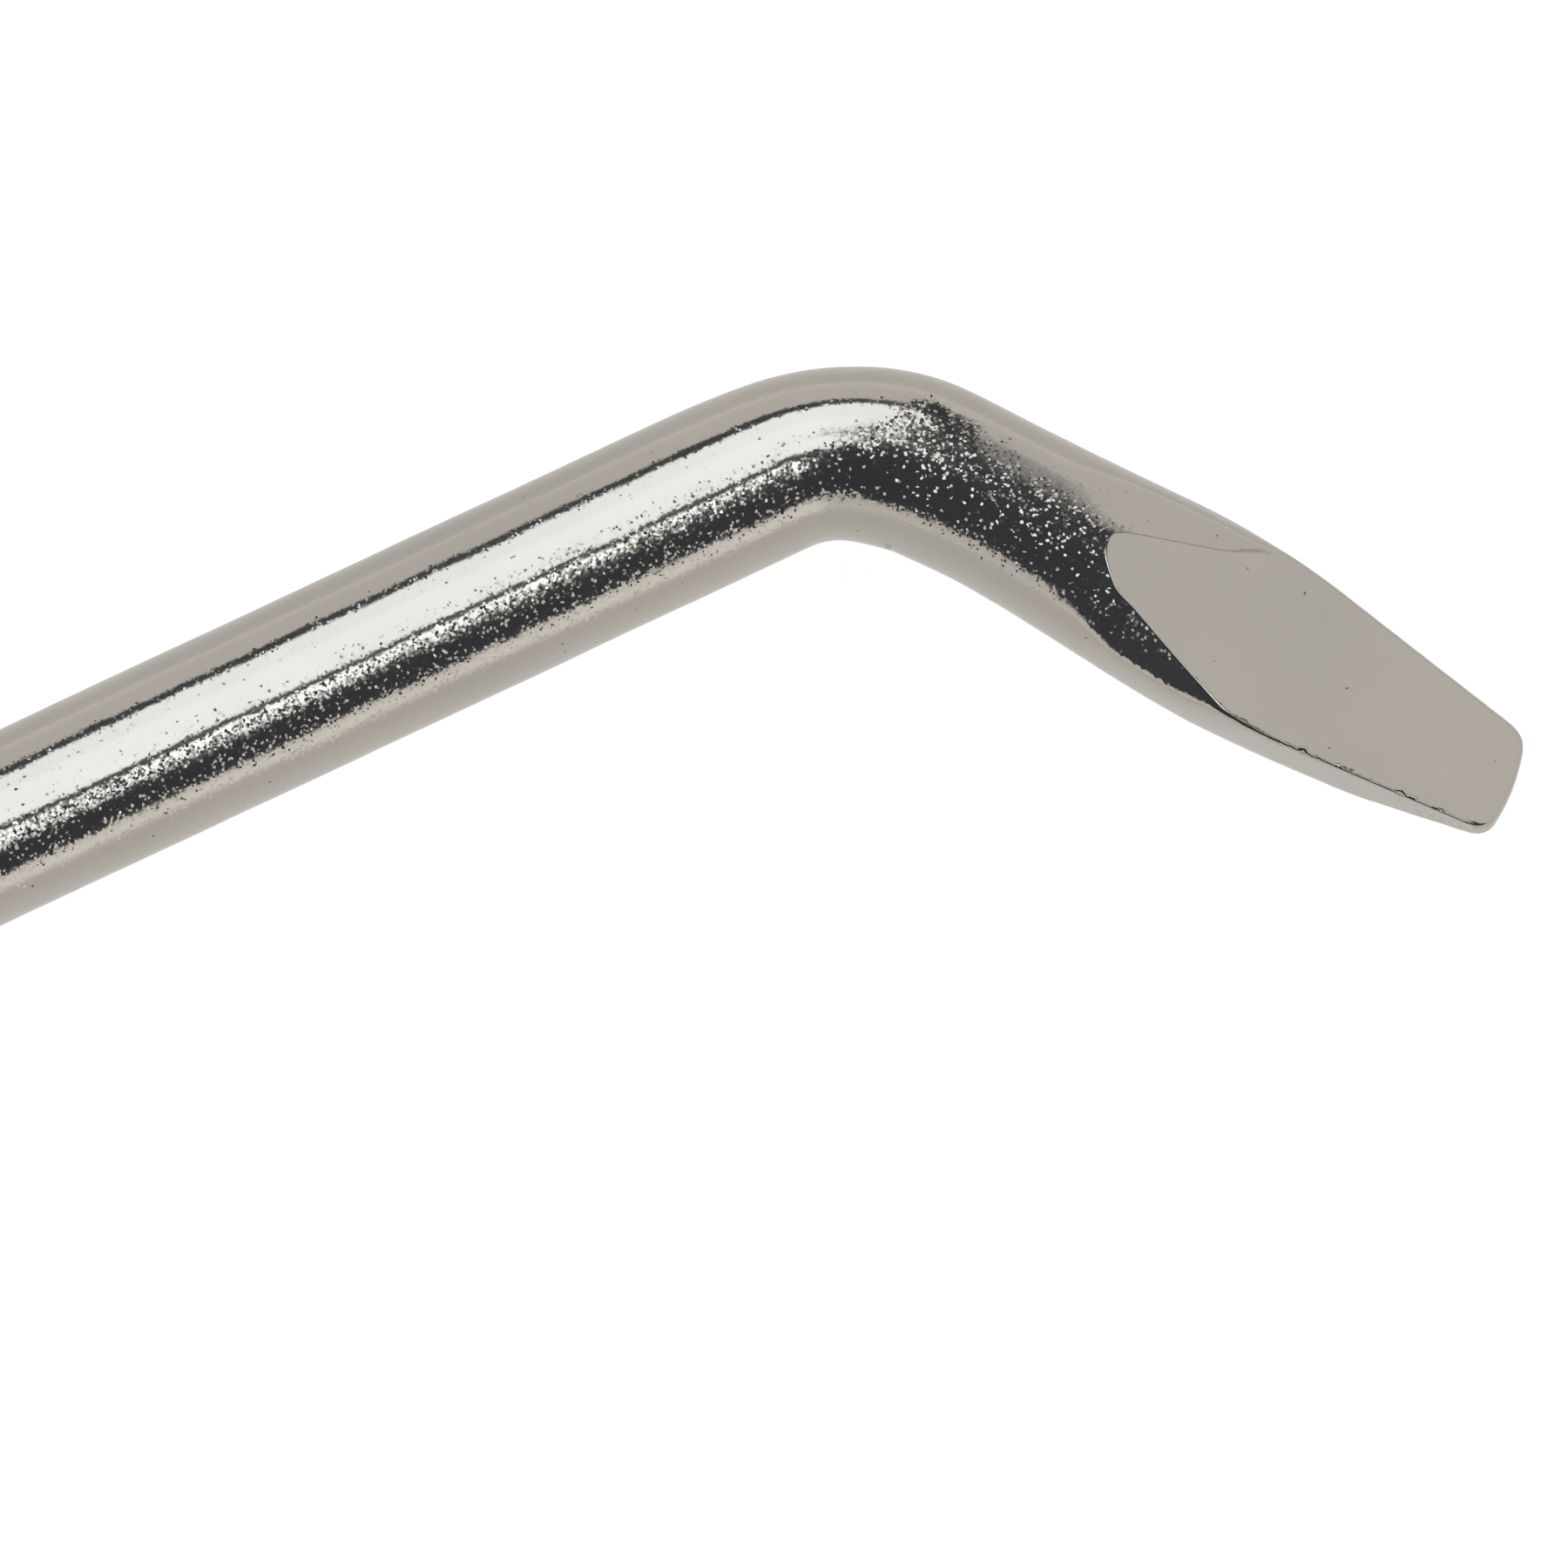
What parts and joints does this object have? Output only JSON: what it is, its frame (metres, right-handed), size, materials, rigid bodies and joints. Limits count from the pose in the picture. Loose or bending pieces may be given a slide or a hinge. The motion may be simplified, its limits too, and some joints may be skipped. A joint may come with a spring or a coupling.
{
  "type": "lug wrench",
  "caption": "Folding lug wrench: bent round steel bar with a flat prying tip, hinged by a rivet to a fork-ended hex socket shaft.",
  "frame": {"origin": "centre of the hex socket's mouth", "axes": "+Y out of the socket's mouth towards the wheel nut, +X along the long bar from the hinge to the bend, +Z square to the plane in which the bar is bent and the head folds"},
  "size_m": [0.3863, 0.1686, 0.0325],
  "materials": {
    "nickel_bar": "bright nickel plate over forged steel, finely pitted",
    "nickel_forging": "bright nickel plate over forged steel, finely pitted",
    "nickel_rivet": "bright nickel plate, upset head",
    "zinc_washer": "clear zinc plate, satin",
    "spring_steel": "oiled spring steel, satin",
    "ball_steel": "polished hardened steel"
  },
  "bodies": {
    "bar": {"pry_bar": "nickel_bar"},
    "head": {"socket_shaft": "nickel_forging", "pivot_rivet": "nickel_rivet", "rivet_washer": "zinc_washer", "thrust_washer_upper": "spring_steel", "thrust_washer_lower": "spring_steel", "detent_spring": "spring_steel"},
    "ball": {"detent_ball": "ball_steel"}
  },
  "joints": [
    {"name": "head_fold", "type": "hinge", "parent": "bar", "child": "head", "pos_m": [0, -0.11, 0], "axis": [0, 0, 1], "range_deg": [0, 180]},
    {"name": "ball_click", "type": "slide", "parent": "head", "child": "ball", "axis": [0, -1, 0], "range_m": [0, 0.0011], "stiffness_N_per_m": 1500, "springref_m": 0.003, "deforming": ["detent_spring"]}
  ]
}
